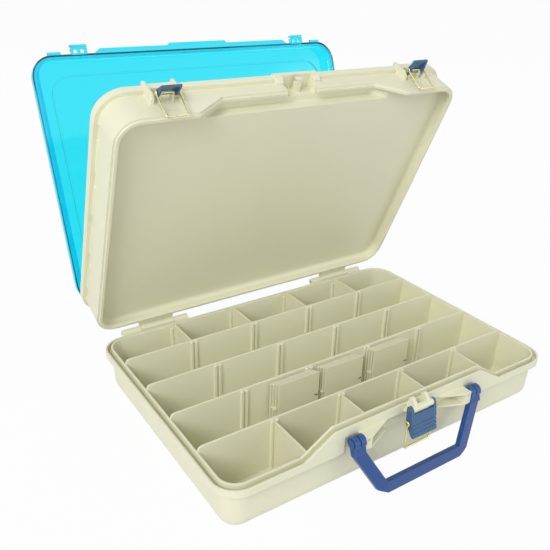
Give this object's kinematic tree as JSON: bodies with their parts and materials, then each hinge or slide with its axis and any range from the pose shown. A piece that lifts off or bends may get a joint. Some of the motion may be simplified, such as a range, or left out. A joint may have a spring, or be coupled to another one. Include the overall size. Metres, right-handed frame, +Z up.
{
  "type": "tackle box",
  "caption": "Satchel-shaped tackle box with a compartment tray, loose dividers, a hinged middle lid, a clear top cover, wire-bail latches and a carrying handle.",
  "frame": {"origin": "centre of the tray's underside, on the surface that the box stands on", "axes": "+X to the right seen from the front, +Y to the back, +Z up"},
  "size_m": [0.451, 0.4921, 0.3769],
  "materials": {
    "shell_beige": "fine satin moulded",
    "divider_beige": "fine satin moulded",
    "cover_clear_blue": "clear tinted, polished",
    "handle_blue": "satin moulded",
    "lever_navy": "satin moulded",
    "bail_brass": "bright wire",
    "pin_steel": "drawn wire"
  },
  "bodies": {
    "base": {"base_tray": "shell_beige", "base_hinge_pin_left": "pin_steel", "base_hinge_pin_right": "pin_steel", "handle_pin_left": "handle_blue", "handle_pin_right": "handle_blue", "main_latch_pin": "pin_steel"},
    "mid_lid": {"mid_lid": "shell_beige", "cover_hinge_pin_left": "pin_steel", "cover_hinge_pin_right": "pin_steel", "lid_latch_pin_left": "pin_steel", "lid_latch_pin_right": "pin_steel"},
    "top_cover": {"top_cover": "cover_clear_blue"},
    "carry_handle": {"carry_handle": "handle_blue"},
    "main_latch_lever": {"main_latch_lever": "lever_navy"},
    "main_latch_bail": {"main_latch_bail": "bail_brass"},
    "main_bail_rod": {"main_bail_rod": "bail_brass"},
    "lid_latch_lever_left": {"lid_latch_lever_left": "lever_navy"},
    "lid_latch_bail_left": {"lid_latch_bail_left": "bail_brass"},
    "lid_bail_rod_left": {"lid_bail_rod_left": "bail_brass"},
    "lid_latch_lever_right": {"lid_latch_lever_right": "lever_navy"},
    "lid_latch_bail_right": {"lid_latch_bail_right": "bail_brass"},
    "lid_bail_rod_right": {"lid_bail_rod_right": "bail_brass"},
    "divider_front_1": {"divider_front_1": "divider_beige"},
    "divider_back_1": {"divider_back_1": "divider_beige"},
    "divider_front_2": {"divider_front_2": "divider_beige"},
    "divider_back_2": {"divider_back_2": "divider_beige"},
    "divider_front_3": {"divider_front_3": "divider_beige"},
    "divider_back_3": {"divider_back_3": "divider_beige"},
    "divider_front_4": {"divider_front_4": "divider_beige"},
    "divider_back_4": {"divider_back_4": "divider_beige"},
    "spare_dividers_left": {"spare_dividers_left": "divider_beige"},
    "spare_dividers_middle": {"spare_dividers_middle": "divider_beige"},
    "spare_dividers_right": {"spare_dividers_right": "divider_beige"}
  },
  "joints": [
    {"name": "lid_hinge", "type": "hinge", "parent": "base", "child": "mid_lid", "pos_m": [0, 0.161, 0.054], "axis": [-1, 0, 0], "range_deg": [-67, 28]},
    {"name": "cover_hinge", "type": "hinge", "parent": "mid_lid", "child": "top_cover", "pos_m": [0, 0.20205, 0.08066], "axis": [-1, 0, 0], "range_deg": [-42.4, 52.6]},
    {"name": "handle_hinge", "type": "hinge", "parent": "base", "child": "carry_handle", "pos_m": [0, -0.158, 0.063], "axis": [-1, 0, 0], "range_deg": [-17.11, 115]},
    {"name": "main_lever_hinge", "type": "hinge", "parent": "base", "child": "main_latch_lever", "pos_m": [0, -0.16085, 0.0765], "axis": [-1, 0, 0], "range_deg": [0, 110]},
    {"name": "main_rod_turn", "type": "hinge", "parent": "main_latch_lever", "child": "main_bail_rod", "pos_m": [0, -0.16135, 0.061], "axis": [-1, 0, 0], "range_deg": [-110, 0]},
    {"name": "main_bail_hinge", "type": "hinge", "parent": "main_bail_rod", "child": "main_latch_bail", "pos_m": [0, -0.16135, 0.061], "axis": [1, 0, 0], "range_deg": [-195, 12]},
    {"name": "lid_lever_hinge_left", "type": "hinge", "parent": "mid_lid", "child": "lid_latch_lever_left", "pos_m": [-0.161, 0.06151, 0.35875], "axis": [-1, 0, 0], "range_deg": [-44, 66]},
    {"name": "lid_rod_turn_left", "type": "hinge", "parent": "lid_latch_lever_left", "child": "lid_bail_rod_left", "pos_m": [-0.161, 0.05787, 0.36015], "axis": [-1, 0, 0], "range_deg": [-66, 44]},
    {"name": "lid_bail_hinge_left", "type": "hinge", "parent": "lid_bail_rod_left", "child": "lid_latch_bail_left", "pos_m": [-0.161, 0.05787, 0.36015], "axis": [1, 0, 0], "range_deg": [-196.5, 0]},
    {"name": "lid_lever_hinge_right", "type": "hinge", "parent": "mid_lid", "child": "lid_latch_lever_right", "pos_m": [0.161, 0.06151, 0.35875], "axis": [-1, 0, 0], "range_deg": [-66, 44]},
    {"name": "lid_rod_turn_right", "type": "hinge", "parent": "lid_latch_lever_right", "child": "lid_bail_rod_right", "pos_m": [0.161, 0.05866, 0.36141], "axis": [-1, 0, 0], "range_deg": [-44, 66]},
    {"name": "lid_bail_hinge_right", "type": "hinge", "parent": "lid_bail_rod_right", "child": "lid_latch_bail_right", "pos_m": [0.161, 0.05866, 0.36141], "axis": [1, 0, 0], "range_deg": [-196.5, 0]},
    {"name": "divider_front_1_lift", "type": "slide", "parent": "base", "child": "divider_front_1", "axis": [0, 0, 1], "range_m": [0, 0.05]},
    {"name": "divider_back_1_lift", "type": "slide", "parent": "base", "child": "divider_back_1", "axis": [0, 0, 1], "range_m": [0, 0.05]},
    {"name": "divider_front_2_lift", "type": "slide", "parent": "base", "child": "divider_front_2", "axis": [0, 0, 1], "range_m": [0, 0.05]},
    {"name": "divider_back_2_lift", "type": "slide", "parent": "base", "child": "divider_back_2", "axis": [0, 0, 1], "range_m": [0, 0.05]},
    {"name": "divider_front_3_lift", "type": "slide", "parent": "base", "child": "divider_front_3", "axis": [0, 0, 1], "range_m": [0, 0.05]},
    {"name": "divider_back_3_lift", "type": "slide", "parent": "base", "child": "divider_back_3", "axis": [0, 0, 1], "range_m": [0, 0.05]},
    {"name": "divider_front_4_lift", "type": "slide", "parent": "base", "child": "divider_front_4", "axis": [0, 0, 1], "range_m": [0, 0.05]},
    {"name": "divider_back_4_lift", "type": "slide", "parent": "base", "child": "divider_back_4", "axis": [0, 0, 1], "range_m": [0, 0.05]},
    {"name": "spare_dividers_left_lift", "type": "slide", "parent": "base", "child": "spare_dividers_left", "axis": [0, 0, 1], "range_m": [0, 0.05]},
    {"name": "spare_dividers_middle_lift", "type": "slide", "parent": "base", "child": "spare_dividers_middle", "axis": [0, 0, 1], "range_m": [0, 0.05]},
    {"name": "spare_dividers_right_lift", "type": "slide", "parent": "base", "child": "spare_dividers_right", "axis": [0, 0, 1], "range_m": [0, 0.05]}
  ],
  "couplings": [
    {"joint": "main_rod_turn", "follows": "main_lever_hinge", "ratio": -1},
    {"joint": "lid_rod_turn_left", "follows": "lid_lever_hinge_left", "ratio": -1},
    {"joint": "lid_rod_turn_right", "follows": "lid_lever_hinge_right", "ratio": -1}
  ]
}
